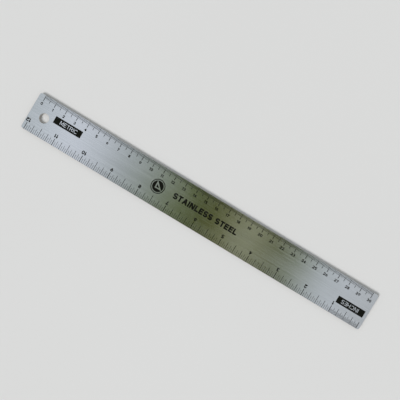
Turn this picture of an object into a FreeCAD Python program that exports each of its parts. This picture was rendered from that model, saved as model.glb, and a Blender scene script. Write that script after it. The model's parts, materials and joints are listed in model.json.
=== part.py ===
import FreeCAD, Part
import math
import os

# A 30 cm / 12 inch steel rule with a cork backing.  Millimetres, +X along the
# rule towards the 30 cm end, +Y towards the metric edge, +Z up, origin under
# the middle of the rule on the surface that it lies on.

Vector = FreeCAD.Vector
UP = Vector(0, 0, 1)

# ---- driving dimensions -------------------------------------------------

# steel blade
BLADE_LENGTH = 310.0
BLADE_WIDTH = 31.5
BLADE_THICKNESS = 1.0
CORNER_RADIUS = 1.8
EDGE_BREAK = 0.08

# hanging hole
HOLE_RADIUS = 4.0
HOLE_FROM_END = 12.5
HOLE_FROM_METRIC_EDGE = 16.3

# cork strip and the film that bonds it to the blade
CORK_LENGTH = 302.0
CORK_WIDTH = 26.0
CORK_THICKNESS = 1.1
CORK_CORNER_RADIUS = 1.2
FILM_THICKNESS = 0.1
BACKING_HOLE_RADIUS = 5.0

# etched and painted marks
ETCH_DEPTH = 0.05
PAINT_SINK = 0.01
MARK_START = 0.1

# metric scale, zero at the left, read from the metric edge
METRIC_SPAN = 300
MILLIMETRE_TICK = 2.6
HALF_CENTIMETRE_TICK = 4.5
CENTIMETRE_TICK = 5.0
MILLIMETRE_LINE = 0.34
HALF_CENTIMETRE_LINE = 0.4
CENTIMETRE_LINE = 0.48
METRIC_NUMERAL_HEIGHT = 2.3
METRIC_NUMERAL_STROKE = 0.56
METRIC_NUMERAL_GAP = 0.25
METRIC_NUMERAL_DEPTH = 7.2

# inch scale, zero at the right, read from the inch edge
INCH = 25.4
INCH_SPAN = 12
THIRTY_SECONDS = 32
THIRTY_SECOND_TICK = 3.0
SIXTEENTH_TICK = 3.6
EIGHTH_TICK = 5.0
QUARTER_TICK = 6.2
HALF_INCH_TICK = 7.4
INCH_TICK = 5.7
FINE_INCH_LINE = 0.26
MEDIUM_INCH_LINE = 0.38
BOLD_INCH_LINE = 0.52
INCH_NUMERAL_HEIGHT = 3.0
INCH_NUMERAL_STROKE = 0.74
INCH_NUMERAL_GAP = 0.35
INCH_NUMERAL_DEPTH = 8.15

# unit labels, dark plates with the letters left bare
LABEL_LENGTH = 24.5
LABEL_HEIGHT = 5.8
LABEL_LETTER_HEIGHT = 3.2
LABEL_STROKE = 0.42
LABEL_GAP = 0.46
METRIC_LABEL_FROM_END = 32.15
INCHES_LABEL_FROM_END = 14.85
LABEL_FROM_EDGE = 12.6
LABEL_TEXT_SHIFT = 0.65

# emblem, a ring around a set square
EMBLEM_FROM_END = 116.4
EMBLEM_FROM_METRIC_EDGE = 15.9
EMBLEM_RADIUS = 5.9
EMBLEM_RING_WIDTH = 0.65
EMBLEM_DISC_RADIUS = 4.6
SET_SQUARE_SIDE = 6.0
SET_SQUARE_RIM = 1.0

# steel marking
MARKING_TEXT = "STAINLESS STEEL"
MARKING_FROM_END = 159.5
MARKING_FROM_METRIC_EDGE = 15.4
MARKING_HEIGHT = 4.8
MARKING_STROKE = 1.25
MARKING_GAP = 0.5
WORD_SPACE = 2.3

# ---- levels and edges that follow from them ------------------------------

HALF_LENGTH = BLADE_LENGTH / 2
METRIC_EDGE = BLADE_WIDTH / 2
INCH_EDGE = -METRIC_EDGE
FILM_BOTTOM = CORK_THICKNESS
BLADE_BOTTOM = FILM_BOTTOM + FILM_THICKNESS
BLADE_TOP = BLADE_BOTTOM + BLADE_THICKNESS
ETCH_FLOOR = BLADE_TOP - ETCH_DEPTH
HOLE_X = HOLE_FROM_END - HALF_LENGTH
HOLE_Y = METRIC_EDGE - HOLE_FROM_METRIC_EDGE
CUTTER_HEIGHT = 0.5

# ---- stroke lettering -----------------------------------------------------

# Each character is its centre-line width and its strokes, in a cell one unit
# high.  A bar and a run have square ends, and a bar's reach half a stroke
# further.  A slant is cut level at both ends, and an arc is given by its
# centre, radius, start and end in degrees.
CHARACTERS = {
    "0": (0.70, [("arc", 0.35, 0.65, 0.35, 0, 180), ("arc", 0.35, 0.35, 0.35, 180, 360),
                 ("run", 0, 0.35, 0, 0.65), ("run", 0.7, 0.35, 0.7, 0.65)]),
    "1": (0.26, [("bar", 0.26, 0, 0.26, 1), ("slant", 0.02, 0.78, 0.22, 1)]),
    "2": (0.70, [("arc", 0.3, 0.7, 0.3, 90, 180), ("run", 0.3, 1, 0.4, 1),
                 ("arc", 0.4, 0.7, 0.3, -53.1301, 90), ("run", -0.02, 0.01, 0.58, 0.46),
                 ("bar", 0, 0, 0.7, 0)]),
    "3": (0.64, [("arc", 0.26, 0.76, 0.24, 90, 165), ("run", 0.26, 1, 0.38, 1),
                 ("arc", 0.38, 0.76, 0.24, -90, 90), ("run", 0.22, 0.52, 0.38, 0.52),
                 ("arc", 0.38, 0.26, 0.26, -90, 90), ("run", 0.26, 0, 0.38, 0),
                 ("arc", 0.26, 0.26, 0.26, 195, 270)]),
    "4": (0.70, [("run", 0, 0.27, 0.5, 1), ("bar", 0, 0.27, 0.7, 0.27), ("bar", 0.5, 0, 0.5, 1)]),
    "5": (0.66, [("arc", 0.27, 0.29, 0.29, 205, 270), ("run", 0.27, 0, 0.37, 0),
                 ("arc", 0.37, 0.29, 0.29, -90, 90), ("run", 0.05, 0.58, 0.37, 0.58),
                 ("bar", 0.05, 0.58, 0.05, 1), ("bar", 0.05, 1, 0.6, 1)]),
    "6": (0.70, [("arc", 0.3, 0.3, 0.3, 90, 270), ("arc", 0.4, 0.3, 0.3, -90, 90),
                 ("run", 0.3, 0, 0.4, 0), ("run", 0.3, 0.6, 0.4, 0.6),
                 ("run", 0.06, 0.48, 0.465, 1.02)]),
    "7": (0.66, [("bar", 0, 1, 0.66, 1), ("slant", 0.2, 0, 0.645, 1)]),
    "8": (0.64, [("arc", 0.26, 0.76, 0.24, 90, 270), ("arc", 0.38, 0.76, 0.24, -90, 90),
                 ("run", 0.26, 1, 0.38, 1), ("run", 0.26, 0.52, 0.38, 0.52),
                 ("arc", 0.26, 0.26, 0.26, 90, 270), ("arc", 0.38, 0.26, 0.26, -90, 90),
                 ("run", 0.26, 0, 0.38, 0)]),
    "9": (0.70, [("arc", 0.3, 0.7, 0.3, 90, 270), ("arc", 0.4, 0.7, 0.3, -90, 90),
                 ("run", 0.3, 1, 0.4, 1), ("run", 0.3, 0.4, 0.4, 0.4),
                 ("run", 0.235, -0.02, 0.64, 0.52)]),
    "A": (0.87, [("slant", 0, 0, 0.435, 1), ("slant", 0.87, 0, 0.435, 1), ("run", 0.13, 0.3, 0.74, 0.3)]),
    "C": (0.86, [("arc", 0.43, 0.57, 0.43, 32, 180), ("arc", 0.43, 0.43, 0.43, 180, 328),
                 ("run", 0, 0.43, 0, 0.57)]),
    "E": (0.62, [("bar", 0, 0, 0, 1), ("bar", 0, 0, 0.62, 0), ("bar", 0, 0.52, 0.56, 0.52),
                 ("bar", 0, 1, 0.62, 1)]),
    "H": (0.78, [("bar", 0, 0, 0, 1), ("bar", 0.78, 0, 0.78, 1), ("run", 0, 0.52, 0.78, 0.52)]),
    "I": (0.00, [("bar", 0, 0, 0, 1)]),
    "L": (0.58, [("bar", 0, 0, 0, 1), ("bar", 0, 0, 0.58, 0)]),
    "M": (0.95, [("bar", 0, 0, 0, 1), ("bar", 0.95, 0, 0.95, 1), ("slant", 0.475, 0.12, 0.05, 1),
                 ("slant", 0.475, 0.12, 0.9, 1)]),
    "N": (0.80, [("bar", 0, 0, 0, 1), ("bar", 0.8, 0, 0.8, 1), ("slant", 0.76, 0, 0.04, 1)]),
    "R": (0.74, [("bar", 0, 0, 0, 1), ("run", 0, 1, 0.48, 1), ("run", 0, 0.48, 0.48, 0.48),
                 ("arc", 0.48, 0.74, 0.26, -90, 90), ("slant", 0.72, 0, 0.42, 0.48)]),
    "S": (0.72, [("arc", 0.47, 0.75, 0.25, 20, 90), ("run", 0.25, 1, 0.47, 1),
                 ("arc", 0.25, 0.75, 0.25, 90, 270), ("run", 0.25, 0.5, 0.47, 0.5),
                 ("arc", 0.47, 0.25, 0.25, -90, 90), ("run", 0.25, 0, 0.47, 0),
                 ("arc", 0.25, 0.25, 0.25, 200, 270)]),
    "T": (0.68, [("bar", 0, 1, 0.68, 1), ("bar", 0.34, 0, 0.34, 1)]),
}


def polygon_face(points):
    """Flat face inside a closed outline of straight sides, at the etch floor."""
    corners = [Vector(x, y, ETCH_FLOOR) for x, y in points]
    return Part.Face(Part.makePolygon(corners + corners[:1]))


def rectangle_face(x0, y0, x1, y1):
    """Flat rectangle between two corners, at the etch floor."""
    return polygon_face([(x0, y0), (x1, y0), (x1, y1), (x0, y1)])


def disc_face(x, y, radius):
    """Flat disc at the etch floor."""
    return Part.Face(Part.Wire(Part.makeCircle(radius, Vector(x, y, ETCH_FLOOR))))


def ring_face(x, y, outer, inner):
    """Flat ring at the etch floor."""
    return disc_face(x, y, outer).cut(disc_face(x, y, inner)).Faces[0]


def straight_face(x0, y0, x1, y1, stroke, overrun):
    """Stroke with square ends, longer than its centre line by overrun at each end."""
    length = math.hypot(x1 - x0, y1 - y0)
    along_x, along_y = (x1 - x0) / length, (y1 - y0) / length
    side_x, side_y = along_y * stroke / 2, -along_x * stroke / 2
    x0, y0 = x0 - along_x * overrun, y0 - along_y * overrun
    x1, y1 = x1 + along_x * overrun, y1 + along_y * overrun
    return polygon_face([(x0 + side_x, y0 + side_y), (x1 + side_x, y1 + side_y),
                         (x1 - side_x, y1 - side_y), (x0 - side_x, y0 - side_y)])


def slant_face(x0, y0, x1, y1, stroke):
    """Sloping stroke from its lower end to its upper end, cut level at both."""
    half = stroke / 2
    low, high = y0 - half, y1 + half
    half_level = half * math.hypot(x1 - x0, high - low) / (high - low)
    return polygon_face([(x0 - half_level, low), (x0 + half_level, low),
                         (x1 + half_level, high), (x1 - half_level, high)])


def arc_face(x, y, radius, start, end, stroke):
    """Stroke along part of a circle, with square ends."""
    outer, inner = radius + stroke / 2, radius - stroke / 2

    def on_circle(r, degrees):
        angle = math.radians(degrees)
        return Vector(x + r * math.cos(angle), y + r * math.sin(angle), ETCH_FLOOR)

    middle = (start + end) / 2
    edges = [
        Part.Arc(on_circle(outer, start), on_circle(outer, middle), on_circle(outer, end)).toShape(),
        Part.makeLine(on_circle(outer, end), on_circle(inner, end)),
        Part.Arc(on_circle(inner, end), on_circle(inner, middle), on_circle(inner, start)).toShape(),
        Part.makeLine(on_circle(inner, start), on_circle(outer, start)),
    ]
    return Part.Face(Part.Wire(edges))


def joined(faces):
    """One flat shape from faces that overlap."""
    if len(faces) == 1:
        return faces[0]
    return faces[0].multiFuse(faces[1:]).removeSplitter()


def character_shape(character, height, stroke):
    """Outline of one character, with its lower left corner at the origin."""
    scale = height - stroke
    half = stroke / 2
    faces = []
    for kind, *numbers in CHARACTERS[character][1]:
        if kind == "arc":
            cx, cy, radius, start, end = numbers
            faces.append(arc_face(half + cx * scale, half + cy * scale, radius * scale, start, end, stroke))
            continue
        ends = [half + value * scale for value in numbers]
        if kind == "slant":
            faces.append(slant_face(*ends, stroke))
        else:
            faces.append(straight_face(*ends, stroke, half if kind == "bar" else 0))
    return joined(faces)


def lettering(text, height, stroke, gap, centre, turned=False):
    """Shapes of a line of text about a centre, upright or turned end for end."""
    shapes = []
    pen = 0.0
    for character in text:
        if character == " ":
            pen += WORD_SPACE
            continue
        shape = character_shape(character, height, stroke)
        shape.translate(Vector(pen, 0, 0))
        shapes.append(shape)
        pen += CHARACTERS[character][0] * (height - stroke) + stroke + gap
    width = pen - gap
    for shape in shapes:
        shape.translate(Vector(-width / 2, -height / 2, 0))
        if turned:
            shape.rotate(Vector(0, 0, 0), UP, 180)
        shape.translate(Vector(centre[0], centre[1], 0))
    return shapes


# ---- marks ----------------------------------------------------------------

def tick_face(x, edge, length, width):
    """Graduation at x that runs inwards from one long edge of the blade."""
    inward = -1 if edge > 0 else 1
    return rectangle_face(x - width / 2, min(edge + inward * MARK_START, edge + inward * length),
                          x + width / 2, max(edge + inward * MARK_START, edge + inward * length))


def metric_marks():
    """Graduations and numerals of the metric scale, by node."""
    marks = {"millimetre_ticks": [], "half_centimetre_ticks": [], "centimetre_ticks": [],
             "metric_numerals": []}
    for millimetre in range(METRIC_SPAN + 1):
        x = millimetre - METRIC_SPAN / 2
        if millimetre % 10 == 0:
            marks["centimetre_ticks"].append(tick_face(x, METRIC_EDGE, CENTIMETRE_TICK, CENTIMETRE_LINE))
            marks["metric_numerals"] += lettering(
                str(millimetre // 10), METRIC_NUMERAL_HEIGHT, METRIC_NUMERAL_STROKE,
                METRIC_NUMERAL_GAP, (x, METRIC_EDGE - METRIC_NUMERAL_DEPTH))
        elif millimetre % 5 == 0:
            marks["half_centimetre_ticks"].append(
                tick_face(x, METRIC_EDGE, HALF_CENTIMETRE_TICK, HALF_CENTIMETRE_LINE))
        else:
            marks["millimetre_ticks"].append(tick_face(x, METRIC_EDGE, MILLIMETRE_TICK, MILLIMETRE_LINE))
    return marks


def inch_marks():
    """Graduations and numerals of the inch scale, by node."""
    marks = {"thirty_second_inch_ticks": [], "sixteenth_inch_ticks": [], "eighth_inch_ticks": [],
             "quarter_inch_ticks": [], "half_inch_ticks": [], "inch_ticks": [], "inch_numerals": []}
    divisions = [
        (THIRTY_SECONDS, "inch_ticks", INCH_TICK, BOLD_INCH_LINE),
        (THIRTY_SECONDS // 2, "half_inch_ticks", HALF_INCH_TICK, MEDIUM_INCH_LINE),
        (THIRTY_SECONDS // 4, "quarter_inch_ticks", QUARTER_TICK, MEDIUM_INCH_LINE),
        (THIRTY_SECONDS // 8, "eighth_inch_ticks", EIGHTH_TICK, FINE_INCH_LINE),
        (THIRTY_SECONDS // 16, "sixteenth_inch_ticks", SIXTEENTH_TICK, FINE_INCH_LINE),
        (1, "thirty_second_inch_ticks", THIRTY_SECOND_TICK, FINE_INCH_LINE),
    ]
    for count in range(INCH_SPAN * THIRTY_SECONDS + 1):
        if count > THIRTY_SECONDS and count % 2:
            continue
        x = INCH_SPAN * INCH / 2 - count * INCH / THIRTY_SECONDS
        node, length, width = next(row[1:] for row in divisions if count % row[0] == 0)
        marks[node].append(tick_face(x, INCH_EDGE, length, width))
    for number in range(1, INCH_SPAN + 1):
        x = INCH_SPAN * INCH / 2 - number * INCH
        marks["inch_numerals"] += lettering(
            str(number), INCH_NUMERAL_HEIGHT, INCH_NUMERAL_STROKE, INCH_NUMERAL_GAP,
            (x, INCH_EDGE + INCH_NUMERAL_DEPTH), turned=True)
    return marks


def label_shape(text, x, y, turned):
    """Dark plate with the letters of a unit left out, a little after its middle."""
    plate = rectangle_face(x - LABEL_LENGTH / 2, y - LABEL_HEIGHT / 2,
                           x + LABEL_LENGTH / 2, y + LABEL_HEIGHT / 2)
    text_x = x - LABEL_TEXT_SHIFT if turned else x + LABEL_TEXT_SHIFT
    letters = lettering(text, LABEL_LETTER_HEIGHT, LABEL_STROKE, LABEL_GAP, (text_x, y), turned)
    return plate.cut(letters)


def set_square_face(x, y, side):
    """Right-angled triangle with two equal sides, about its middle."""
    third = side / 3
    return polygon_face([(x - third, y - third), (x + side - third, y - third),
                         (x - third, y + side - third)])


def emblem_shape(x, y):
    """Ring around a dark disc that shows a bare set square with its window."""
    ring = ring_face(x, y, EMBLEM_RADIUS, EMBLEM_RADIUS - EMBLEM_RING_WIDTH)
    rim_to_side = SET_SQUARE_RIM * (2 + math.sqrt(2))
    window = set_square_face(x, y, SET_SQUARE_SIDE - rim_to_side)
    inset = SET_SQUARE_RIM - rim_to_side / 3
    window.translate(Vector(inset, inset, 0))
    disc = disc_face(x, y, EMBLEM_DISC_RADIUS).cut(set_square_face(x, y, SET_SQUARE_SIDE))
    return Part.makeCompound([ring, disc, window])


def text_marks():
    """Unit labels, emblem and steel marking, by node."""
    return {
        "metric_label": [label_shape(
            "METRIC", METRIC_LABEL_FROM_END - HALF_LENGTH, METRIC_EDGE - LABEL_FROM_EDGE, False)],
        "inches_label": [label_shape(
            "INCHES", HALF_LENGTH - INCHES_LABEL_FROM_END, INCH_EDGE + LABEL_FROM_EDGE, True)],
        "drafting_emblem": [emblem_shape(
            EMBLEM_FROM_END - HALF_LENGTH, METRIC_EDGE - EMBLEM_FROM_METRIC_EDGE)],
        "steel_marking": lettering(
            MARKING_TEXT, MARKING_HEIGHT, MARKING_STROKE, MARKING_GAP,
            (MARKING_FROM_END - HALF_LENGTH, METRIC_EDGE - MARKING_FROM_METRIC_EDGE)),
    }


def raised(shapes, height):
    """Solids of the given height on flat shapes."""
    solids = []
    for shape in shapes:
        for face in shape.Faces:
            solids += face.extrude(UP * height).Solids
    return solids


# ---- blade and backing ------------------------------------------------------

def rounded_slab(length, width, radius, bottom, thickness, hole_radius):
    """Flat slab with round corners and a round hole at the hanging hole's place."""
    half_x, half_y = length / 2, width / 2
    slab = Part.makeBox(length, width, thickness, Vector(-half_x, -half_y, bottom))
    corners = [edge for edge in slab.Edges
               if abs(edge.Vertexes[0].Z - edge.Vertexes[-1].Z) > thickness / 2]
    slab = slab.makeFillet(radius, corners)
    return slab.cut(Part.makeCylinder(hole_radius, thickness, Vector(HOLE_X, HOLE_Y, bottom)))


def plain_blade():
    """Blade before etching, with its outer and hole edges broken."""
    slab = rounded_slab(BLADE_LENGTH, BLADE_WIDTH, CORNER_RADIUS, BLADE_BOTTOM, BLADE_THICKNESS,
                        HOLE_RADIUS)
    rims = [edge for edge in slab.Edges if edge.BoundBox.ZLength < EDGE_BREAK]
    return slab.makeChamfer(EDGE_BREAK, rims)


def export(node, solids):
    """Write the solids of one node, which are all valid and closed."""
    for solid in solids:
        if not solid.isValid() or not solid.isClosed():
            raise ValueError("bad solid in " + node)
    shape = solids[0] if len(solids) == 1 else Part.makeCompound(solids)
    shape.exportStep("parts/" + node + ".step")
    volume = sum(solid.Volume for solid in solids)
    print(node, len(solids), "solids", round(volume, 3), "mm3")


os.makedirs("parts", exist_ok=True)

marks = {**metric_marks(), **inch_marks(), **text_marks()}
cutters = []
for node, shapes in marks.items():
    export(node, raised(shapes, ETCH_DEPTH - PAINT_SINK))
    cutters += raised(shapes, CUTTER_HEIGHT)

export("steel_blade", plain_blade().cut(cutters).Solids)
export("adhesive_film", rounded_slab(
    CORK_LENGTH, CORK_WIDTH, CORK_CORNER_RADIUS, FILM_BOTTOM, FILM_THICKNESS,
    BACKING_HOLE_RADIUS).Solids)
export("cork_backing", rounded_slab(
    CORK_LENGTH, CORK_WIDTH, CORK_CORNER_RADIUS, 0, CORK_THICKNESS, BACKING_HOLE_RADIUS).Solids)
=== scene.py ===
import json
import math

import bmesh
import bpy
from mathutils import Matrix, Vector, noise
from mathutils.geometry import delaunay_2d_cdt


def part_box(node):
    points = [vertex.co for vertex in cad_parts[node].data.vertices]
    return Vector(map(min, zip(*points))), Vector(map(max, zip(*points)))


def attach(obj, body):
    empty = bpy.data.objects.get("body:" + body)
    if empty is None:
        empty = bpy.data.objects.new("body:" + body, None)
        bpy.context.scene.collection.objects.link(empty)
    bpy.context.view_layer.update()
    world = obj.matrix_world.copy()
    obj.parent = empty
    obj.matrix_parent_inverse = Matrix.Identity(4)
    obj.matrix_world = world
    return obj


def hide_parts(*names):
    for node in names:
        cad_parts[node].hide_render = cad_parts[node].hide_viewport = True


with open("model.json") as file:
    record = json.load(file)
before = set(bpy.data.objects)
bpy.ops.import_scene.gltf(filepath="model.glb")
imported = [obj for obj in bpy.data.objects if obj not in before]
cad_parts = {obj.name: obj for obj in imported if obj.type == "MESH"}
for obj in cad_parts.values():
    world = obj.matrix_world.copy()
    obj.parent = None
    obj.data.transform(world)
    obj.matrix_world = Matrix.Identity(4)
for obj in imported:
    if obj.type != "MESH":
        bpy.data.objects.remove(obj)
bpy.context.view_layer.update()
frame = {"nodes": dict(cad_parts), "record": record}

# A 30 cm / 12 inch steel rule with a cork backing, lying on a pale floor.  Outlines are
# worked out in millimetres, +X along the rule and +Y towards the metric edge, and the
# meshes are made in metres in the same frame.

MM = 0.001

# ---- sizes read from the frame -----------------------------------------------


def box_mm(node):
    """Lowest and highest corner of a CAD node, in millimetres."""
    low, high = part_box(node)
    return low / MM, high / MM


BLADE_LOW, BLADE_HIGH = box_mm("steel_blade")
FILM_LOW, FILM_HIGH = box_mm("adhesive_film")
CORK_LOW, CORK_HIGH = box_mm("cork_backing")
HOLE = next(mount for mount in frame["record"]["mounts"] if mount["name"] == "hanging_hole")
HOLE_X, HOLE_Y = HOLE["pos_m"][0] / MM, HOLE["pos_m"][1] / MM
HOLE_RADIUS = HOLE["dims"]["r_mm"]

# ---- sizes of the details, in millimetres ------------------------------------

CORNER_RADIUS = 1.8
EDGE_BREAK = 0.08
EDGE_BREAK_STEPS = 3
CORNER_STEPS = 16
HOLE_STEPS = 96
ARC_STEP_DEGREES = 7.5
WELD = 0.001

BACKING_CORNER_RADIUS = 1.2
BACKING_CORNER_STEPS = 6
BACKING_HOLE_RADIUS = 5.0
BACKING_HOLE_STEPS = 48
CORK_GRAIN = 0.6
CORK_GRAIN_SEED = 7
CORK_GRAIN_SHAKE = 0.4
CORK_SIDE_LEVELS = 4
CORK_SIDE_ROUGHNESS = 0.16
CORK_PIT_DEPTH = 0.14
FILM_EDGE_ROUGHNESS = 0.08

# Noise that wears the backing: its scale along the strip and up its side, per millimetre,
# and the height at which the noise is read, which sets each kind apart.
SIDE_WAVE_SCALE = 1.3
SIDE_WAVE_RISE = 2.1
SIDE_CHIP_SCALE = 3.1
SIDE_CHIP_RISE = 4.0
SIDE_CHIP_START = 9.0
GRAIN_SHAKE_START = 0.5
HOLLOW_SCALE = 0.55
HOLLOW_START = 3.0
HOLLOW_LEAST = 0.15
DIMPLE_SCALE = 1.4
DIMPLE_START = 7.0
DIMPLE_SHARE = 0.8

# A face is level if the upright part of its normal is above LEVEL_NORMAL, and an edge that
# turns by more than CREASE_DEGREES is a crease.
LEVEL_NORMAL = 0.9999
CREASE_DEGREES = 35

METRIC_NUMERAL_STROKE = 0.56
METRIC_NUMERAL_GAP = 0.25
INCH_NUMERAL_STROKE = 0.74
INCH_NUMERAL_GAP = 0.35
LABEL_LETTER_HEIGHT = 3.2
LABEL_STROKE = 0.42
LABEL_GAP = 0.46
LABEL_TEXT_SHIFT = 0.65
EMBLEM_RING_WIDTH = 0.65
EMBLEM_DISC_INSET = 1.3
SET_SQUARE_SIDE = 6.0
SET_SQUARE_RIM = 1.0
MARKING_TEXT = "STAINLESS STEEL"
MARKING_STROKE = 1.25
MARKING_GAP = 0.5
WORD_SPACE = 2.3

TICK_NODES = [
    "millimetre_ticks", "half_centimetre_ticks", "centimetre_ticks",
    "thirty_second_inch_ticks", "sixteenth_inch_ticks", "eighth_inch_ticks",
    "quarter_inch_ticks", "half_inch_ticks", "inch_ticks",
]

# ---- camera, in millimetres and degrees --------------------------------------

CAMERA_EYE = (-6.28, 14.38, 355.56)
CAMERA_AIM = (-4.71, 7.68, 2.2)
CAMERA_ROLL = 31.06
CAMERA_LENS = 40.5
CAMERA_SENSOR = 36.0
CAMERA_NEAR = 10.0

# ---- floor, key light and studio, in metres and degrees ----------------------

FLOOR_HALF = 30.0
FLOOR_GAP = 0.00005

KEY_FROM = (-0.30, -0.58, 0.66)
KEY_WIDTH = 26.0
KEY_STRENGTH = 2.9

# Brightness of the studio overhead, by the slope of the direction along the rule: bright
# soft boxes over both ends, and between them an unlit olive gap with one dim panel in it.
STUDIO_SLOPE = 0.5
STUDIO_STOPS = [
    (-0.42, (0.63, 0.70, 0.76)), (-0.32, (0.93, 1.00, 1.14)), (-0.26, (0.78, 0.84, 0.95)),
    (-0.17, (0.46, 0.52, 0.54)), (-0.09, (0.27, 0.32, 0.25)), (-0.03, (0.14, 0.18, 0.06)),
    (0.02, (0.05, 0.065, 0.00)), (0.06, (0.09, 0.10, 0.00)), (0.14, (0.42, 0.44, 0.31)),
    (0.205, (0.075, 0.085, 0.00)), (0.255, (0.22, 0.26, 0.16)), (0.33, (0.66, 0.73, 0.80)),
    (0.37, (0.75, 0.81, 0.90)), (0.45, (0.62, 0.66, 0.71)),
]

# The soft boxes fade out sideways into walls of uneven brightness, which grow dimmer down to
# the horizon.  Ranges are of the direction's own y and z, and of the noise on the walls.
STUDIO_LEAST_RISE = 0.05
STUDIO_BOX_FADE = (0.35, 0.75)
STUDIO_BOX_LEFT_OVER = 0.3
STUDIO_WALL_SCALE = 2.2
STUDIO_WALL_RANGE = (0.38, 0.62)
STUDIO_WALL_DIM = (0.45, 0.47, 0.49)
STUDIO_WALL_BRIGHT = (1.08, 1.12, 1.16)
STUDIO_WALL_FOOT = (0.1, 0.6)
STUDIO_HORIZON_BLUR = 0.03
STUDIO_HORIZON_DIM = (0.20, 0.21, 0.22)
STUDIO_HORIZON_BRIGHT = (0.58, 0.60, 0.62)
STUDIO_BELOW = (0.55, 0.55, 0.54)
BACKDROP = (0.70, 0.70, 0.69)

# ---- colours of the materials: red, green, blue ------------------------------

STEEL_DARK = (0.55, 0.55, 0.54)
STEEL_LIGHT = (0.66, 0.66, 0.65)
STEEL_SCRATCH = (0.74, 0.74, 0.73)
ENAMEL_FRESH = (0.0035, 0.0038, 0.0020)
ENAMEL_WORN = (0.035, 0.036, 0.028)
CORK_GRANULES = [
    (0.0, (0.17, 0.08, 0.032)), (0.12, (0.30, 0.165, 0.075)), (0.4, (0.43, 0.265, 0.135)),
    (0.75, (0.52, 0.34, 0.185)), (1.0, (0.62, 0.44, 0.265)),
]
CORK_PORE = (0.16, 0.08, 0.035)
CORK_SPECK = (0.085, 0.038, 0.016)
CORK_GAP = (0.15, 0.075, 0.032)
ADHESIVE_THICK = (0.36, 0.27, 0.15)
ADHESIVE_THIN = (0.55, 0.45, 0.29)
FLOOR_DARK = (0.55, 0.535, 0.52)
FLOOR_LIGHT = (0.57, 0.555, 0.54)

# ---- stroke lettering --------------------------------------------------------

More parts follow.
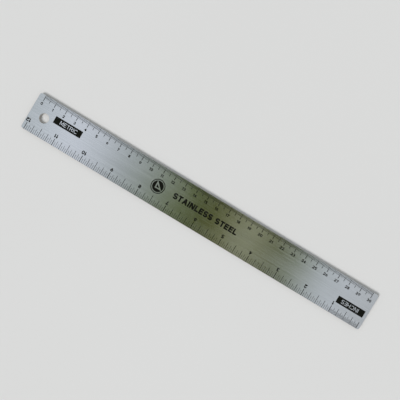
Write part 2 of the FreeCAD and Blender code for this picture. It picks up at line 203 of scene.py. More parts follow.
# Each character is its centre-line width and its strokes, in a cell one unit high.  A bar
# and a run have square ends, and a bar's reach half a stroke further.  A slant is cut level
# at both ends, and an arc is given by its centre, radius, start and end in degrees.
CHARACTERS = {
    "0": (0.70, [("arc", 0.35, 0.65, 0.35, 0, 180), ("arc", 0.35, 0.35, 0.35, 180, 360),
                 ("run", 0, 0.35, 0, 0.65), ("run", 0.7, 0.35, 0.7, 0.65)]),
    "1": (0.26, [("bar", 0.26, 0, 0.26, 1), ("slant", 0.02, 0.78, 0.22, 1)]),
    "2": (0.70, [("arc", 0.3, 0.7, 0.3, 90, 180), ("run", 0.3, 1, 0.4, 1),
                 ("arc", 0.4, 0.7, 0.3, -53.1301, 90), ("run", -0.02, 0.01, 0.58, 0.46),
                 ("bar", 0, 0, 0.7, 0)]),
    "3": (0.64, [("arc", 0.26, 0.76, 0.24, 90, 165), ("run", 0.26, 1, 0.38, 1),
                 ("arc", 0.38, 0.76, 0.24, -90, 90), ("run", 0.22, 0.52, 0.38, 0.52),
                 ("arc", 0.38, 0.26, 0.26, -90, 90), ("run", 0.26, 0, 0.38, 0),
                 ("arc", 0.26, 0.26, 0.26, 195, 270)]),
    "4": (0.70, [("run", 0, 0.27, 0.5, 1), ("bar", 0, 0.27, 0.7, 0.27), ("bar", 0.5, 0, 0.5, 1)]),
    "5": (0.66, [("arc", 0.27, 0.29, 0.29, 205, 270), ("run", 0.27, 0, 0.37, 0),
                 ("arc", 0.37, 0.29, 0.29, -90, 90), ("run", 0.05, 0.58, 0.37, 0.58),
                 ("bar", 0.05, 0.58, 0.05, 1), ("bar", 0.05, 1, 0.6, 1)]),
    "6": (0.70, [("arc", 0.3, 0.3, 0.3, 90, 270), ("arc", 0.4, 0.3, 0.3, -90, 90),
                 ("run", 0.3, 0, 0.4, 0), ("run", 0.3, 0.6, 0.4, 0.6),
                 ("run", 0.06, 0.48, 0.465, 1.02)]),
    "7": (0.66, [("bar", 0, 1, 0.66, 1), ("slant", 0.2, 0, 0.645, 1)]),
    "8": (0.64, [("arc", 0.26, 0.76, 0.24, 90, 270), ("arc", 0.38, 0.76, 0.24, -90, 90),
                 ("run", 0.26, 1, 0.38, 1), ("run", 0.26, 0.52, 0.38, 0.52),
                 ("arc", 0.26, 0.26, 0.26, 90, 270), ("arc", 0.38, 0.26, 0.26, -90, 90),
                 ("run", 0.26, 0, 0.38, 0)]),
    "9": (0.70, [("arc", 0.3, 0.7, 0.3, 90, 270), ("arc", 0.4, 0.7, 0.3, -90, 90),
                 ("run", 0.3, 1, 0.4, 1), ("run", 0.3, 0.4, 0.4, 0.4),
                 ("run", 0.235, -0.02, 0.64, 0.52)]),
    "A": (0.87, [("slant", 0, 0, 0.435, 1), ("slant", 0.87, 0, 0.435, 1), ("run", 0.13, 0.3, 0.74, 0.3)]),
    "C": (0.86, [("arc", 0.43, 0.57, 0.43, 32, 180), ("arc", 0.43, 0.43, 0.43, 180, 328),
                 ("run", 0, 0.43, 0, 0.57)]),
    "E": (0.62, [("bar", 0, 0, 0, 1), ("bar", 0, 0, 0.62, 0), ("bar", 0, 0.52, 0.56, 0.52),
                 ("bar", 0, 1, 0.62, 1)]),
    "H": (0.78, [("bar", 0, 0, 0, 1), ("bar", 0.78, 0, 0.78, 1), ("run", 0, 0.52, 0.78, 0.52)]),
    "I": (0.00, [("bar", 0, 0, 0, 1)]),
    "L": (0.58, [("bar", 0, 0, 0, 1), ("bar", 0, 0, 0.58, 0)]),
    "M": (0.95, [("bar", 0, 0, 0, 1), ("bar", 0.95, 0, 0.95, 1), ("slant", 0.475, 0.12, 0.05, 1),
                 ("slant", 0.475, 0.12, 0.9, 1)]),
    "N": (0.80, [("bar", 0, 0, 0, 1), ("bar", 0.8, 0, 0.8, 1), ("slant", 0.76, 0, 0.04, 1)]),
    "R": (0.74, [("bar", 0, 0, 0, 1), ("run", 0, 1, 0.48, 1), ("run", 0, 0.48, 0.48, 0.48),
                 ("arc", 0.48, 0.74, 0.26, -90, 90), ("slant", 0.72, 0, 0.42, 0.48)]),
    "S": (0.72, [("arc", 0.47, 0.75, 0.25, 20, 90), ("run", 0.25, 1, 0.47, 1),
                 ("arc", 0.25, 0.75, 0.25, 90, 270), ("run", 0.25, 0.5, 0.47, 0.5),
                 ("arc", 0.47, 0.25, 0.25, -90, 90), ("run", 0.25, 0, 0.47, 0),
                 ("arc", 0.25, 0.25, 0.25, 200, 270)]),
    "T": (0.68, [("bar", 0, 1, 0.68, 1), ("bar", 0.34, 0, 0.34, 1)]),
}

# ---- outlines: lists of (x, y), counter-clockwise, in millimetres ------------


def rectangle(x0, y0, x1, y1):
    """Outline of an upright rectangle."""
    return [(x0, y0), (x1, y0), (x1, y1), (x0, y1)]


def arc_points(x, y, radius, start, end, steps):
    """Points along part of a circle, both ends included."""
    angles = [math.radians(start + (end - start) * i / steps) for i in range(steps + 1)]
    return [(x + radius * math.cos(a), y + radius * math.sin(a)) for a in angles]


def circle(x, y, radius, steps=HOLE_STEPS):
    """Outline of a circle."""
    return arc_points(x, y, radius, 0, 360, steps)[:-1]


def rounded_rectangle(low, high, radius, inset=0.0, steps=CORNER_STEPS):
    """Outline of a rectangle with round corners, shrunk by inset on every side."""
    points = []
    corners = [(high[0], high[1]), (low[0], high[1]), (low[0], low[1]), (high[0], low[1])]
    for turn, (corner_x, corner_y) in enumerate(corners):
        x = corner_x - math.copysign(radius, corner_x - (low[0] + high[0]) / 2)
        y = corner_y - math.copysign(radius, corner_y - (low[1] + high[1]) / 2)
        points += arc_points(x, y, radius - inset, 90 * turn, 90 * turn + 90, steps)
    return points


def band(x, y, outer, inner, start, end):
    """Outline of part of a ring."""
    steps = max(2, math.ceil((end - start) / ARC_STEP_DEGREES))
    there = arc_points(x, y, outer, start, end, steps)
    return there + arc_points(x, y, inner, end, start, steps)


def straight_stroke(x0, y0, x1, y1, stroke, overrun):
    """Outline of a stroke with square ends, which reach past its centre line by overrun."""
    length = math.hypot(x1 - x0, y1 - y0)
    along_x, along_y = (x1 - x0) / length, (y1 - y0) / length
    side_x, side_y = along_y * stroke / 2, -along_x * stroke / 2
    x0, y0 = x0 - along_x * overrun, y0 - along_y * overrun
    x1, y1 = x1 + along_x * overrun, y1 + along_y * overrun
    return [(x0 + side_x, y0 + side_y), (x1 + side_x, y1 + side_y),
            (x1 - side_x, y1 - side_y), (x0 - side_x, y0 - side_y)]


def slanted_stroke(x0, y0, x1, y1, stroke):
    """Outline of a sloping stroke from its lower to its upper end, cut level at both."""
    half = stroke / 2
    low, high = y0 - half, y1 + half
    half_level = half * math.hypot(x1 - x0, high - low) / (high - low)
    return [(x0 - half_level, low), (x0 + half_level, low),
            (x1 + half_level, high), (x1 - half_level, high)]


def character_outlines(character, height, stroke):
    """Outlines of one character's strokes, its lower left corner at the origin."""
    scale = height - stroke
    half = stroke / 2
    outlines = []
    for kind, *numbers in CHARACTERS[character][1]:
        if kind == "arc":
            cx, cy, radius, start, end = numbers
            outlines.append(band(half + cx * scale, half + cy * scale, radius * scale + half,
                                 radius * scale - half, start, end))
            continue
        ends = [half + value * scale for value in numbers]
        if kind == "slant":
            outlines.append(slanted_stroke(*ends, stroke))
        else:
            outlines.append(straight_stroke(*ends, stroke, half if kind == "bar" else 0))
    return outlines


def lettering(text, height, stroke, gap, centre, turned=False):
    """Outlines of a line of text about a centre, upright or turned end for end."""
    outlines = []
    pen = 0.0
    for character in text:
        if character == " ":
            pen += WORD_SPACE
            continue
        for outline in character_outlines(character, height, stroke):
            outlines.append([(x + pen, y) for x, y in outline])
        pen += CHARACTERS[character][0] * (height - stroke) + stroke + gap
    middle = (pen - gap) / 2
    way = -1 if turned else 1
    return [[(centre[0] + way * (x - middle), centre[1] + way * (y - height / 2)) for x, y in outline]
            for outline in outlines]


# ---- marks on the blade: (outline, painted node or None for bare steel) ------


def loose_boxes(node):
    """The rectangle that each separate solid of a node of upright boxes covers."""
    mesh = bmesh.new()
    mesh.from_mesh(frame["nodes"][node].data)
    bmesh.ops.remove_doubles(mesh, verts=mesh.verts, dist=WELD * MM)
    seen = set()
    boxes = []
    for first in mesh.verts:
        if first.index in seen:
            continue
        seen.add(first.index)
        island = [first]
        for vertex in island:
            for edge in vertex.link_edges:
                other = edge.other_vert(vertex)
                if other.index not in seen:
                    seen.add(other.index)
                    island.append(other)
        xs = [vertex.co.x / MM for vertex in island]
        ys = [vertex.co.y / MM for vertex in island]
        boxes.append((min(xs), min(ys), max(xs), max(ys)))
    mesh.free()
    return sorted(boxes)


def numeral_marks(node, ticks, numbers, stroke, gap, turned):
    """Numerals in a node's band, one centred on each tick."""
    low, high = box_mm(node)
    middle_y = (low.y + high.y) / 2
    marks = []
    for tick, number in zip(ticks, numbers):
        centre = ((tick[0] + tick[2]) / 2, middle_y)
        for outline in lettering(str(number), high.y - low.y, stroke, gap, centre, turned):
            marks.append((outline, node))
    return marks


def label_marks(node, text, turned):
    """Painted plate with bare letters."""
    low, high = box_mm(node)
    shift = -LABEL_TEXT_SHIFT if turned else LABEL_TEXT_SHIFT
    centre = ((low.x + high.x) / 2 + shift, (low.y + high.y) / 2)
    letters = lettering(text, LABEL_LETTER_HEIGHT, LABEL_STROKE, LABEL_GAP, centre, turned)
    plate = rectangle(low.x, low.y, high.x, high.y)
    return [(plate, node)] + [(outline, None) for outline in letters]


def set_square(x, y, side):
    """Outline of a set square with two equal sides from its right-angled corner."""
    return [(x, y), (x + side, y), (x, y + side)]


def emblem_marks(node):
    """Ring around a disc that shows a bare set square with its window."""
    low, high = box_mm(node)
    x, y = (low.x + high.x) / 2, (low.y + high.y) / 2
    radius = (high.x - low.x) / 2
    corner_x, corner_y = x - SET_SQUARE_SIDE / 3, y - SET_SQUARE_SIDE / 3
    window_side = SET_SQUARE_SIDE - SET_SQUARE_RIM * (2 + math.sqrt(2))
    window = set_square(corner_x + SET_SQUARE_RIM, corner_y + SET_SQUARE_RIM, window_side)
    halves = [band(x, y, radius, radius - EMBLEM_RING_WIDTH, start, start + 180) for start in (0, 180)]
    return [(half, node) for half in halves] + [
        (circle(x, y, radius - EMBLEM_DISC_INSET), node),
        (set_square(corner_x, corner_y, SET_SQUARE_SIDE), None),
        (window, node),
    ]


def marking_marks(node):
    """Lettering that names the steel."""
    low, high = box_mm(node)
    centre = ((low.x + high.x) / 2, (low.y + high.y) / 2)
    letters = lettering(MARKING_TEXT, high.y - low.y, MARKING_STROKE, MARKING_GAP, centre)
    return [(outline, node) for outline in letters]


def all_marks():
    """Every mark on the blade.  Where marks overlap, the later one counts."""
    marks = []
    boxes = {node: loose_boxes(node) for node in TICK_NODES}
    for node, rows in boxes.items():
        marks += [(rectangle(*row), node) for row in rows]
    marks += numeral_marks("metric_numerals", boxes["centimetre_ticks"], range(31),
                           METRIC_NUMERAL_STROKE, METRIC_NUMERAL_GAP, False)
    marks += numeral_marks("inch_numerals", boxes["inch_ticks"], range(12, 0, -1),
                           INCH_NUMERAL_STROKE, INCH_NUMERAL_GAP, True)
    marks += label_marks("metric_label", "METRIC", False)
    marks += label_marks("inches_label", "INCHES", True)
    marks += emblem_marks("drafting_emblem")
    marks += marking_marks("steel_marking")
    return marks


# ---- meshes ------------------------------------------------------------------


def flat_triangles(outlines, extra_points=()):
    """Triangles that respect every outline, as points, triangles with the numbers of the
    outlines that hold them, and the place of each outline's own points."""
    points = []
    faces = []
    for outline in outlines:
        faces.append(list(range(len(points), len(points) + len(outline))))
        points += outline
    points = [Vector(point) for point in [*points, *extra_points]]
    made = delaunay_2d_cdt(points, [], faces, 0, WELD, True)
    new_points, _, triangles, old_of_new, _, holders = made
    same = twins(new_points, triangles)
    place = {old: same.get(new, new) for new, olds in enumerate(old_of_new) for old in olds}
    places = [[place[old] for old in face] for face in faces]
    kept = []
    for triangle, inside in zip(triangles, holders):
        triangle = tuple(same.get(index, index) for index in triangle)
        if len(set(triangle)) == 3:
            kept.append((triangle, set(inside)))
    return new_points, kept, places


def twins(points, triangles):
    """The earlier point on the same spot, for each point that has one.

    The triangulation leaves such pairs where a corner of one stroke falls on another's."""
    same = {}
    for triangle in triangles:
        for a, b in zip(triangle, triangle[1:] + triangle[:1]):
            if (points[a] - points[b]).length < WELD:
                same[max(a, b)] = min(a, b)
    return same


class Solid:
    """Collects the points and faces of one mesh, in millimetres."""

    def __init__(self):
        self.points = []
        self.faces = []
        self.at_level = {}

    def point(self, x, y, z):
        """New point, as its number."""
        self.points.append((x * MM, y * MM, z * MM))
        return len(self.points) - 1

    def shared(self, flat_points, index, z):
        """Point of a flat triangulation at a level, made once."""
        key = (index, z)
        if key not in self.at_level:
            self.at_level[key] = self.point(*flat_points[index], z)
        return self.at_level[key]

    def loop(self, outline, z):
        """New points of an outline at a level."""
        return [self.point(x, y, z) for x, y in outline]

    def strip(self, lower, upper):
        """Wall between two loops of the same length that go the same way."""
        for i in range(len(lower)):
            j = (i + 1) % len(lower)
            self.faces.append((lower[i], lower[j], upper[j], upper[i]))

    def piece(self, name, material, material_slot, node):
        """Object made of the faces, which rides on the root body in a CAD node's place."""
        mesh = bpy.data.meshes.new(name)
        mesh.from_pydata(self.points, [], self.faces)
        mesh.validate()
        tidy_shading(mesh)
        brushing_uv(mesh)
        mesh.materials.append(material)
        piece = bpy.data.objects.new(name, mesh)
        bpy.context.scene.collection.objects.link(piece)
        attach(piece, "root")
        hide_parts(node)


def tidy_shading(mesh):
    """Outward faces, smooth round walls, and crisp borders round every level face."""
    work = bmesh.new()
    work.from_mesh(mesh)
    bmesh.ops.recalc_face_normals(work, faces=work.faces)
    for face in work.faces:
        face.smooth = True
    for edge in work.edges:
        if len(edge.link_faces) != 2:
            continue
        first, second = (face.normal for face in edge.link_faces)
        gentle = first.dot(second) > math.cos(math.radians(CREASE_DEGREES))
        both_level_or_neither = (abs(first.z) > LEVEL_NORMAL) == (abs(second.z) > LEVEL_NORMAL)
        edge.smooth = gentle and both_level_or_neither
    work.to_mesh(mesh)
    work.free()


def brushing_uv(mesh):
    """UV map whose U runs across the rule, so that the shader knows the brushing."""
    layer = mesh.uv_layers.new(name="brushing")
    for loop in mesh.loops:
        co = mesh.vertices[loop.vertex_index].co
        layer.data[loop.index].uv = (co.y + co.z, co.x)


def make_blade(marks, material):
    """Blade with broken edges, its hanging hole and an etched pocket under each mark.

    Gives the points of its top face, and the triangles of each node's marks in them."""
    top, bottom = BLADE_HIGH.z, BLADE_LOW.z
    etch_floor = box_mm("millimetre_ticks")[0].z
    rim = rounded_rectangle(BLADE_LOW, BLADE_HIGH, CORNER_RADIUS, EDGE_BREAK)
    mouth = circle(HOLE_X, HOLE_Y, HOLE_RADIUS + EDGE_BREAK)
    borders = [rim, mouth]
    flat, triangles, places = flat_triangles(borders + [outline for outline, _ in marks])
    solid = Solid()
    painted = {}
    levels_at_edge = {}
    for triangle, inside in triangles:
        in_rim, in_mouth = 0 in inside, 1 in inside
        if in_mouth or not in_rim:
            continue
        held = [number - len(borders) for number in inside if number >= len(borders)]
        node = marks[max(held)][1] if held else None
        if node:
            painted.setdefault(node, []).append(triangle)
        level = etch_floor if node else top
        solid.faces.append([solid.shared(flat, index, level) for index in triangle])
        for a, b in zip(triangle, triangle[1:] + triangle[:1]):
            levels_at_edge.setdefault(tuple(sorted((a, b))), []).append(level)
    for (a, b), levels in levels_at_edge.items():
        if len(levels) == 2 and levels[0] != levels[1]:
            solid.faces.append([solid.shared(flat, a, etch_floor), solid.shared(flat, b, etch_floor),
                                solid.shared(flat, b, top), solid.shared(flat, a, top)])
    profile = edge_profile(top, bottom)
    lowest = []
    for place, outline_at in [
        (places[0], lambda inset: rounded_rectangle(BLADE_LOW, BLADE_HIGH, CORNER_RADIUS, inset)),
        (places[1], lambda inset: circle(HOLE_X, HOLE_Y, HOLE_RADIUS + inset)),
    ]:
        upper = [solid.shared(flat, index, top) for index in place]
        for inset, z in profile[1:]:
            lower = solid.loop(outline_at(inset), z)
            solid.strip(lower, upper)
            upper = lower
        lowest.append(upper)
    close_flat(solid, borders, lowest, bottom)
    solid.piece("blade", material, "brushed_steel", "steel_blade")
    return flat, painted


def edge_profile(top, bottom):
    """Steps of (inset, level) down a blade edge that is broken at both faces."""
    steps = []
    for i in range(EDGE_BREAK_STEPS + 1):
        angle = math.radians(90 * i / EDGE_BREAK_STEPS)
        steps.append((EDGE_BREAK * (1 - math.sin(angle)), EDGE_BREAK * (1 - math.cos(angle))))
    upper = [(inset, top - drop) for inset, drop in steps]
    lower = [(inset, bottom + drop) for inset, drop in reversed(steps)]
    return upper + lower


def close_flat(solid, outlines, loops, z, inner_points=(), relief=None):
    """Face between an outline and the hole in it, on the loops already made round both.

    Inner points stand above z by their relief."""
    flat, triangles, places = flat_triangles(outlines, inner_points)
    corners = {}
    for place, loop in zip(places, loops):
        corners.update(zip(place, loop))
    for triangle, inside in triangles:
        if inside != {0}:
            continue
        for index in triangle:
            if index not in corners:
                x, y = flat[index]
                corners[index] = solid.point(x, y, z + relief(x, y))
        solid.faces.append([corners[index] for index in triangle])


def make_paint(node, flat, triangles, material):
    """Paint that fills one kind of mark, in the CAD node's own levels."""
    low, high = box_mm(node)
    solid = Solid()
    edges = {}
    for triangle in triangles:
        for z in (low.z, high.z):
            solid.faces.append([solid.shared(flat, index, z) for index in triangle])
        for a, b in zip(triangle, triangle[1:] + triangle[:1]):
            key = tuple(sorted((a, b)))
            edges[key] = edges.get(key, 0) + 1
    for (a, b), uses in edges.items():
        if uses == 1:
            solid.faces.append([solid.shared(flat, a, low.z), solid.shared(flat, b, low.z),
                                solid.shared(flat, b, high.z), solid.shared(flat, a, high.z)])
    solid.piece(node + "_paint", material, "mark_paint", node)


def spaced(outline, spacing):
    """The outline with points no further apart than spacing."""
    points = []
    for (x0, y0), (x1, y1) in zip(outline, outline[1:] + outline[:1]):
        steps = max(1, math.ceil(math.hypot(x1 - x0, y1 - y0) / spacing))
        points += [(x0 + (x1 - x0) * i / steps, y0 + (y1 - y0) * i / steps) for i in range(steps)]
    return points


def noise_at(x, y, z):
    """Smooth noise about zero."""
    return noise.noise(Vector((x, y, z)))


def worn(outline, side, depth, z):
    """The outline pushed into the material by up to depth, unevenly.

    The side is 1 for an outer border, whose material is inside it, and -1 for a hole."""
    points = []
    count = len(outline)
    for i, (x, y) in enumerate(outline):
        before, after = outline[i - 1], outline[(i + 1) % count]
        along = Vector((after[0] - before[0], after[1] - before[1])).normalized()
        wave = noise_at(x * SIDE_WAVE_SCALE, y * SIDE_WAVE_SCALE, z * SIDE_WAVE_RISE)
        chip = noise_at(x * SIDE_CHIP_SCALE, y * SIDE_CHIP_SCALE, z * SIDE_CHIP_RISE + SIDE_CHIP_START)
        bite = depth * (0.5 + 0.5 * wave) + depth * 0.5 * max(0.0, chip)
        bite = min(max(bite, 0.0), depth)
        points.append((x - side * along.y * bite, y + side * along.x * bite))
    return points


def make_backing(name, node, low, high, material, material_slot, *, roughness, levels, pitted):
    """Strip under the blade with uneven sides, and a pitted underside if it is cork."""
    rim = rounded_rectangle(low, high, BACKING_CORNER_RADIUS, steps=BACKING_CORNER_STEPS)
    mouth = circle(HOLE_X, HOLE_Y, BACKING_HOLE_RADIUS, BACKING_HOLE_STEPS)
    rim, mouth = spaced(rim, CORK_GRAIN), spaced(mouth, CORK_GRAIN)
    solid = Solid()
    rows = [low.z + (high.z - low.z) * i / levels for i in range(levels + 1)]
    outlines_at = [[worn(rim, 1, roughness, z), worn(mouth, -1, roughness, z)] for z in rows]
    loops_at = [[solid.loop(outline, z) for outline in outlines] for outlines, z in zip(outlines_at, rows)]
    for lower_loops, upper_loops in zip(loops_at, loops_at[1:]):
        for lower, upper in zip(lower_loops, upper_loops):
            solid.strip(lower, upper)
    close_flat(solid, outlines_at[0], loops_at[0], low.z, grain_points(low, high) if pitted else (), pit)
    close_flat(solid, outlines_at[-1], loops_at[-1], high.z)
    solid.piece(name, material, material_slot, node)


def grain_points(low, high):
    """Uneven rows of points over the cork's underside, clear of its border and hole.

    Vector noise that has no seed changes from run to run, so it is given one."""
    noise.seed_set(CORK_GRAIN_SEED)
    points = []
    margin = 2 * CORK_GRAIN
    rows = int((high.y - low.y - 2 * margin) / CORK_GRAIN)
    columns = int((high.x - low.x - 2 * margin) / CORK_GRAIN)
    for row in range(rows + 1):
        for column in range(columns + 1):
            x = low.x + margin + column * CORK_GRAIN
            y = low.y + margin + row * CORK_GRAIN
            shake = noise.noise_vector(Vector((x, y, GRAIN_SHAKE_START))) * CORK_GRAIN * CORK_GRAIN_SHAKE
            x, y = x + shake.x, y + shake.y
            if math.hypot(x - HOLE_X, y - HOLE_Y) > BACKING_HOLE_RADIUS + margin / 2:
                points.append((x, y))
    return points


def pit(x, y):
    """Height of the cork's underside above its lowest plane."""
    hollow = max(0.0, noise_at(x * HOLLOW_SCALE, y * HOLLOW_SCALE, HOLLOW_START) - HOLLOW_LEAST)
    dimple = max(0.0, noise_at(x * DIMPLE_SCALE, y * DIMPLE_SCALE, DIMPLE_START))
    return CORK_PIT_DEPTH * min(1.0, hollow + DIMPLE_SHARE * dimple)


# ---- materials ---------------------------------------------------------------


class Shader:
    """The nodes of a material or of the world, built one by one."""

    def __init__(self, owner):
        owner.use_nodes = True
        self.owner = owner
        self.tree = owner.node_tree
        self.tree.nodes.clear()

    def feed(self, socket, value):
        """Links an output to an input, or sets the input's own value."""
        if isinstance(value, bpy.types.NodeSocket):
            self.tree.links.new(value, socket)
        else:
            socket.default_value = value

    def node(self, kind, inputs=None, **settings):
        """New node with its settings and inputs."""
        node = self.tree.nodes.new("ShaderNode" + kind)
        for key, value in settings.items():
            setattr(node, key, value)
        for key, value in (inputs or {}).items():
            self.feed(node.inputs[key], value)
        return node

    def position(self, scale):
        """Place on the object in metres, times a scale for each axis."""
        place = self.node("TexCoord").outputs["Object"]
        return self.node("Mapping", {"Vector": place, "Scale": scale}).outputs["Vector"]

    def noise(self, scale, detail=2.0, roughness=0.5, distortion=0.0):
        """Noise with features of about one over scale metres along each axis."""
        return self.node("TexNoise", {
            "Vector": self.position(scale), "Scale": 1.0, "Detail": detail,
            "Roughness": roughness, "Distortion": distortion}).outputs["Fac"]

    def scratches(self, degrees, seed):
        """Sparse hairline scratches that run at an angle to the X axis."""
        place = self.node("TexCoord").outputs["Object"]
        turned = self.node("Mapping", {
            "Vector": place, "Location": (seed, seed, 0.0), "Rotation": (0.0, 0.0, math.radians(degrees))})
        stretched = self.node("VectorMath", {
            0: turned.outputs["Vector"], 1: (55.0, 7000.0, 7000.0)}, operation="MULTIPLY")
        lines = self.node("TexNoise", {"Vector": stretched.outputs["Vector"], "Scale": 1.0, "Detail": 1.0})
        return self.remap(lines.outputs["Fac"], 0.70, 0.76, 0.0, 1.0)

    def remap(self, value, low, high, new_low, new_high):
        """Value moved from one range to another and held there."""
        return self.node("MapRange", {
            "Value": value, "From Min": low, "From Max": high, "To Min": new_low,
            "To Max": new_high}).outputs["Result"]

    def math(self, operation, first, second=0.0):
        """Result of a sum on one value or two."""
        return self.node("Math", {0: first, 1: second}, operation=operation).outputs[0]

    def mix(self, factor, first, second):
        """Blend of two colours, each an output or (red, green, blue)."""
        node = self.node("Mix", data_type="RGBA")
        sockets = [socket for socket in node.inputs if socket.enabled]
        for socket, value in zip(sockets, (factor, first, second)):
            self.feed(socket, (*value, 1.0) if isinstance(value, tuple) else value)
        return next(socket for socket in node.outputs if socket.enabled)

    def ramp(self, value, stops):
        """Colour along a list of (place, colour)."""
        node = self.node("ValToRGB", {"Fac": value})
        elements = node.color_ramp.elements
        while len(elements) < len(stops):
            elements.new(0.5)
        for element, (place, colour) in zip(elements, stops):
            element.position = place
            element.color = (*colour, 1.0)
        return node.outputs["Color"]

    def bump(self, height, depth):
        """Surface relief of the given depth in metres."""
        return self.node("Bump", {"Height": height, "Strength": 1.0, "Distance": depth}).outputs["Normal"]

    def surface(self, **inputs):
        """Principled surface, which ends the material."""
        named = {key.replace("_", " "): value for key, value in inputs.items()}
        self.node("OutputMaterial", {"Surface": self.node("BsdfPrincipled", named).outputs["BSDF"]})
        return self.owner


def steel_material():
    """Stainless steel brushed lengthwise, with handling marks."""
    shader = Shader(bpy.data.materials.new("brushed_stainless"))
    fine = shader.noise((70, 9000, 9000), 3.0, 0.6)
    coarse = shader.noise((9, 1300, 1300), 2.0, 0.5)
    smudge = shader.noise((45, 60, 60), 3.0, 0.55, 0.6)
    streaks = shader.math("ADD", shader.math("MULTIPLY", fine, 0.55), shader.math("MULTIPLY", coarse, 0.45))
    tone = shader.remap(streaks, 0.35, 0.65, 0.0, 1.0)
    colour = shader.mix(tone, STEEL_DARK, STEEL_LIGHT)
    scuffs = shader.math("MAXIMUM", shader.scratches(14, 0.0), shader.scratches(-31, 3.0))
    colour = shader.mix(shader.math("MULTIPLY", scuffs, 0.5), colour, STEEL_SCRATCH)
    roughness = shader.math("ADD", shader.remap(streaks, 0.3, 0.7, 0.16, 0.23),
                            shader.remap(smudge, 0.45, 0.75, 0.0, 0.05))
    relief = shader.bump(streaks, 0.000004)
    tangent = shader.node("Tangent", direction_type="UV_MAP", uv_map="brushing").outputs["Tangent"]
    return shader.surface(Base_Color=colour, Metallic=1.0, Roughness=roughness, Normal=relief,
                          Anisotropic=0.85, Tangent=tangent)


def paint_material():
    """Near-black enamel, a little worn and uneven."""
    shader = Shader(bpy.data.materials.new("mark_enamel"))
    wear = shader.noise((700, 2500, 2500), 4.0, 0.65)
    cloud = shader.noise((160, 160, 160), 2.0, 0.5)
    colour = shader.mix(shader.remap(wear, 0.55, 0.85, 0.0, 0.4), ENAMEL_FRESH, ENAMEL_WORN)
    roughness = shader.remap(cloud, 0.3, 0.7, 0.42, 0.62)
    relief = shader.bump(wear, 0.000006)
    return shader.surface(Base_Color=colour, Roughness=roughness, Normal=relief,
                          Specular_IOR_Level=0.10)


def cork_material():
    """Agglomerated cork: pressed granules of two sizes in mixed browns, with dark bark specks."""
    shader = Shader(bpy.data.materials.new("agglomerated_cork"))
    place = shader.position((1000, 1000, 1000))
    bend = shader.node("TexNoise", {"Vector": place, "Scale": 1.6, "Detail": 3.0}).outputs["Color"]
    bend = shader.node("VectorMath", {0: bend, 1: (0.9, 0.9, 0.9)}, operation="MULTIPLY").outputs[0]
    bent = shader.node("VectorMath", {0: place, 1: bend}, operation="ADD").outputs[0]
    tones = []
    for scale in (1.0, 2.1):
        cells = shader.node("TexVoronoi", {"Vector": bent, "Scale": scale})
        tones.append(shader.node("SeparateColor", {"Color": cells.outputs["Color"]}).outputs["Red"])
    choice = shader.remap(shader.noise((500, 500, 500), 2.0), 0.46, 0.54, 0.0, 1.0)
    tone = shader.node("Mix", {0: choice, 2: tones[0], 3: tones[1]}).outputs[0]
    granules = shader.ramp(tone, CORK_GRANULES)
    pores = shader.noise((5200, 5200, 5200), 3.0, 0.6)
    grain = shader.mix(shader.remap(pores, 0.55, 0.70, 0.0, 0.6), granules, CORK_PORE)
    specks = shader.remap(shader.noise((1500, 1500, 1500), 4.0, 0.7), 0.63, 0.68, 0.0, 0.85)
    grain = shader.mix(specks, grain, CORK_SPECK)
    borders = shader.node("TexVoronoi", {"Vector": bent, "Scale": 1.0}, feature="DISTANCE_TO_EDGE")
    gap = shader.remap(borders.outputs["Distance"], 0.0, 0.08, 0.45, 0.0)
    colour = shader.mix(gap, grain, CORK_GAP)
    height = shader.math("SUBTRACT", shader.remap(borders.outputs["Distance"], 0.0, 0.25, 0.0, 1.0),
                         shader.math("MULTIPLY", pores, 0.7))
    return shader.surface(Base_Color=colour, Roughness=0.9, Normal=shader.bump(height, 0.00007))


def adhesive_material():
    """Cured contact adhesive, amber and uneven."""
    shader = Shader(bpy.data.materials.new("cured_adhesive"))
    cloud = shader.noise((900, 900, 2500), 3.0, 0.6)
    colour = shader.mix(shader.remap(cloud, 0.35, 0.65, 0.0, 1.0), ADHESIVE_THICK, ADHESIVE_THIN)
    roughness = shader.remap(cloud, 0.3, 0.7, 0.3, 0.5)
    return shader.surface(Base_Color=colour, Roughness=roughness, Normal=shader.bump(cloud, 0.00003))


def floor_material():
    """Pale matte floor that is clear from below, so that the underside can be seen."""
    shader = Shader(bpy.data.materials.new("pale_floor"))
    cloud = shader.noise((3, 3, 3), 2.0, 0.5)
    colour = shader.mix(cloud, FLOOR_DARK, FLOOR_LIGHT)
    paper = shader.node("BsdfDiffuse", {"Color": colour}).outputs["BSDF"]
    clear = shader.node("BsdfTransparent").outputs["BSDF"]
    behind = shader.node("NewGeometry").outputs["Backfacing"]
    mixed = shader.node("MixShader", {0: behind, 1: paper, 2: clear}).outputs[0]
    shader.node("OutputMaterial", {"Surface": mixed})
    return shader.owner


# ---- stage -------------------------------------------------------------------


def make_floor():
    """Large pale floor under the rule, which takes its shadow but lights and darkens nothing."""
    half = FLOOR_HALF
    mesh = bpy.data.meshes.new("floor")
    corners = [(-half, -half), (half, -half), (half, half), (-half, half)]
    mesh.from_pydata([(x, y, -FLOOR_GAP) for x, y in corners], [], [(0, 1, 2, 3)])
    mesh.materials.append(floor_material())
    floor = bpy.data.objects.new("floor", mesh)
    floor.visible_diffuse = False
    floor.visible_glossy = False
    floor.visible_shadow = False
    bpy.context.scene.collection.objects.link(floor)


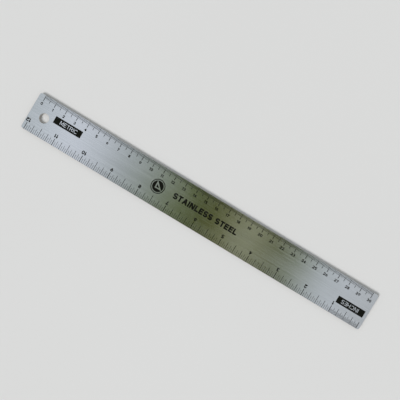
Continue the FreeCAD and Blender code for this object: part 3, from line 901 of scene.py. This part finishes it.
def make_studio():
    """World light: soft boxes overhead with a dark gap, uneven walls, and a plain backdrop
    that only the camera sees."""
    studio = Shader(bpy.data.worlds.new("studio"))
    bpy.context.scene.world = studio.owner
    direction = studio.node("TexCoord").outputs["Generated"]
    parts = studio.node("SeparateXYZ", {"Vector": direction})
    x, y, z = (parts.outputs[axis] for axis in "XYZ")
    slope = studio.math("DIVIDE", x, studio.math("MAXIMUM", z, STUDIO_LEAST_RISE))
    place = studio.remap(slope, -STUDIO_SLOPE, STUDIO_SLOPE, 0.0, 1.0)
    stops = [((slope_at + STUDIO_SLOPE) / (2 * STUDIO_SLOPE), colour) for slope_at, colour in STUDIO_STOPS]
    overhead = studio.ramp(place, stops)
    drift = studio.node("TexNoise", {"Vector": direction, "Scale": STUDIO_WALL_SCALE, "Detail": 0.0})
    drift = studio.remap(drift.outputs["Fac"], *STUDIO_WALL_RANGE, 0.0, 1.0)
    wall = studio.mix(drift, STUDIO_WALL_DIM, STUDIO_WALL_BRIGHT)
    horizon = studio.mix(drift, STUDIO_HORIZON_DIM, STUDIO_HORIZON_BRIGHT)
    boxed = studio.remap(studio.math("ABSOLUTE", y), *STUDIO_BOX_FADE, 1.0, STUDIO_BOX_LEFT_OVER)
    high = studio.mix(boxed, wall, overhead)
    sky = studio.mix(studio.remap(z, *STUDIO_WALL_FOOT, 0.0, 1.0), horizon, high)
    above = studio.remap(z, -STUDIO_HORIZON_BLUR, STUDIO_HORIZON_BLUR, 0.0, 1.0)
    colour = studio.mix(above, STUDIO_BELOW, sky)
    seen = studio.node("LightPath").outputs["Is Camera Ray"]
    colour = studio.mix(seen, colour, BACKDROP)
    background = studio.node("Background", {"Color": colour}).outputs["Background"]
    studio.node("OutputWorld", {"Surface": background})


def make_key_light():
    """Wide soft light from the inch side, which throws the shadow past the metric edge."""
    light = bpy.data.lights.new("key", "SUN")
    light.angle = math.radians(KEY_WIDTH)
    light.energy = KEY_STRENGTH
    key = bpy.data.objects.new("key", light)
    towards = Vector(KEY_FROM).normalized()
    key.rotation_mode = "QUATERNION"
    key.rotation_quaternion = towards.to_track_quat("Z", "Y")
    key.visible_camera = False
    key.visible_glossy = False
    bpy.context.scene.collection.objects.link(key)


def make_camera():
    """Camera almost straight above the rule, turned so that the rule lies aslant."""
    eye, aim = Vector(CAMERA_EYE) * MM, Vector(CAMERA_AIM) * MM
    forward = (aim - eye).normalized()
    roll = math.radians(CAMERA_ROLL)
    right = Vector((math.cos(roll), math.sin(roll), 0.0))
    right = (right - forward * right.dot(forward)).normalized()
    up = right.cross(forward)
    data = bpy.data.cameras.new("camera")
    data.lens = CAMERA_LENS
    data.sensor_width = CAMERA_SENSOR
    data.clip_start = CAMERA_NEAR * MM
    camera = bpy.data.objects.new("camera", data)
    camera.matrix_world = Matrix.Translation(eye) @ Matrix((right, up, -forward)).transposed().to_4x4()
    bpy.context.scene.collection.objects.link(camera)
    bpy.context.scene.camera = camera


# ---- the rule ----------------------------------------------------------------


def make_rule():
    """Blade, paint in its marks, adhesive and cork."""
    steel, paint = steel_material(), paint_material()
    flat, painted = make_blade(all_marks(), steel)
    for node, triangles in painted.items():
        if node in TICK_NODES:
            ticks = frame["nodes"][node]
            ticks.data.materials.clear()
            ticks.data.materials.append(paint)
        else:
            make_paint(node, flat, triangles, paint)
    make_backing("adhesive_line", "adhesive_film", FILM_LOW, FILM_HIGH, adhesive_material(), "adhesive",
                 roughness=FILM_EDGE_ROUGHNESS, levels=1, pitted=False)
    make_backing("cork_strip", "cork_backing", CORK_LOW, CORK_HIGH, cork_material(), "cork",
                 roughness=CORK_SIDE_ROUGHNESS, levels=CORK_SIDE_LEVELS, pitted=True)


make_camera()
make_rule()
make_floor()
make_studio()
make_key_light()
bpy.context.scene.view_settings.view_transform = "Standard"
